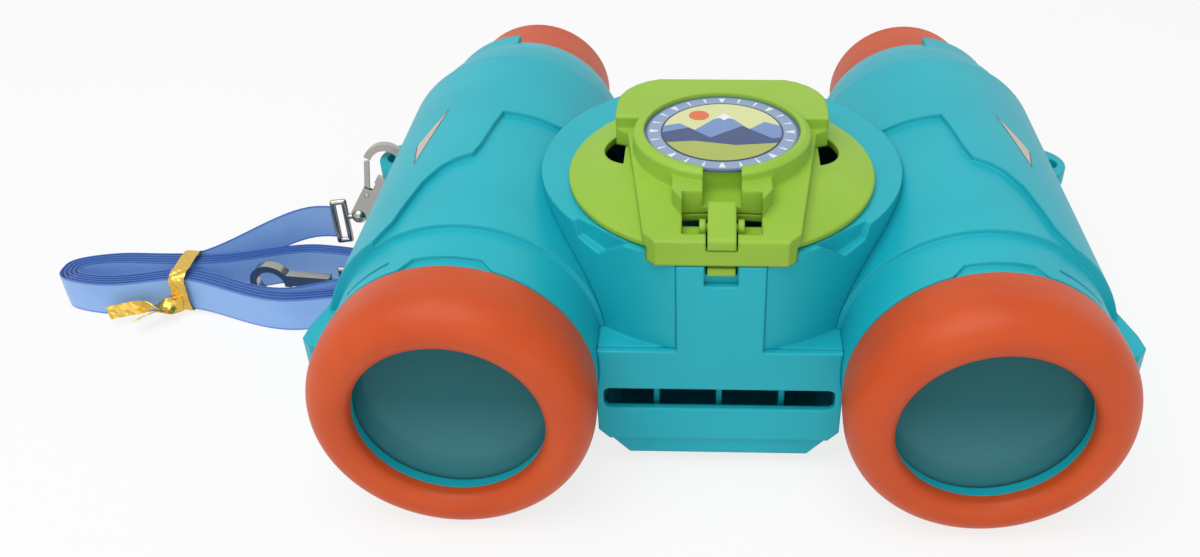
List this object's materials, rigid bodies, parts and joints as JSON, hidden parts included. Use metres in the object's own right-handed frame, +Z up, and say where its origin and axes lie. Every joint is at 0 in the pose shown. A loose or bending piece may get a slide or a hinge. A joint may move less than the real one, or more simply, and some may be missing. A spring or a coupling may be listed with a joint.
{
  "type": "toy binoculars",
  "caption": "Chunky toy binoculars with soft objective rings and eyecups, a lidded storage drum on the bridge and a tied neck ribbon with snap hooks.",
  "frame": {"origin": "on the table, under the middle of the binoculars, with the strap left out", "axes": "+X to the right seen from the objectives, +Y from the objectives to the eyecups, +Z up"},
  "size_m": [0.2737, 0.159, 0.0702],
  "materials": {
    "turquoise_plastic": "satin",
    "orange_rubber": "satin",
    "green_plastic": "satin",
    "lens": "polished",
    "badge": "gloss",
    "steel": "bright",
    "chrome": "polished",
    "ribbon": "satin weave",
    "foil": "metallised film"
  },
  "bodies": {
    "body": {"left_barrel_top": "turquoise_plastic", "right_barrel_top": "turquoise_plastic", "left_barrel_bottom": "turquoise_plastic", "right_barrel_bottom": "turquoise_plastic", "left_objective_ring": "orange_rubber", "right_objective_ring": "orange_rubber", "left_objective_lens": "lens", "right_objective_lens": "lens", "left_lens_retainer": "turquoise_plastic", "right_lens_retainer": "turquoise_plastic", "left_eyecup": "orange_rubber", "right_eyecup": "orange_rubber", "left_eye_lens": "lens", "right_eye_lens": "lens", "front_plate": "turquoise_plastic", "drum": "turquoise_plastic", "bottom_tray": "turquoise_plastic", "barrel_screws": "steel", "tray_screws": "steel", "lid_hinge_pin": "steel", "strap_ribbon": "ribbon", "strap_tie": "foil", "near_hook": "chrome", "near_gate_pin": "steel", "near_strap_ring": "chrome", "far_hook": "chrome", "far_gate_pin": "steel", "far_strap_ring": "chrome"},
    "lid": {"lid_saucer": "green_plastic", "lid_housing": "green_plastic", "lid_badge": "badge", "latch_pin": "green_plastic"},
    "latch": {"latch_lever": "green_plastic"},
    "near_gate": {"near_gate": "chrome"},
    "far_gate": {"far_gate": "chrome"}
  },
  "joints": [
    {"name": "lid_hinge", "type": "hinge", "parent": "body", "child": "lid", "pos_m": [0, 0.01315, 0.06095], "axis": [-1, 0, 0], "range_deg": [0, 100]},
    {"name": "latch_rock", "type": "hinge", "parent": "lid", "child": "latch", "pos_m": [0, -0.0521, 0.0621], "axis": [-1, 0, 0], "range_deg": [0, 8], "stiffness_Nm_per_rad": 0.01},
    {"name": "near_gate_turn", "type": "hinge", "parent": "body", "child": "near_gate", "pos_m": [-0.09775, 0.02103, 0.02485], "axis": [-0.1235, 0.9703, -0.208], "range_deg": [0, 8], "stiffness_Nm_per_rad": 0.002},
    {"name": "far_gate_turn", "type": "hinge", "parent": "body", "child": "far_gate", "pos_m": [-0.11226, 0.00223, 0.00635], "axis": [0.1045, 0.9945, 0], "range_deg": [0, 16], "stiffness_Nm_per_rad": 0.002}
  ]
}
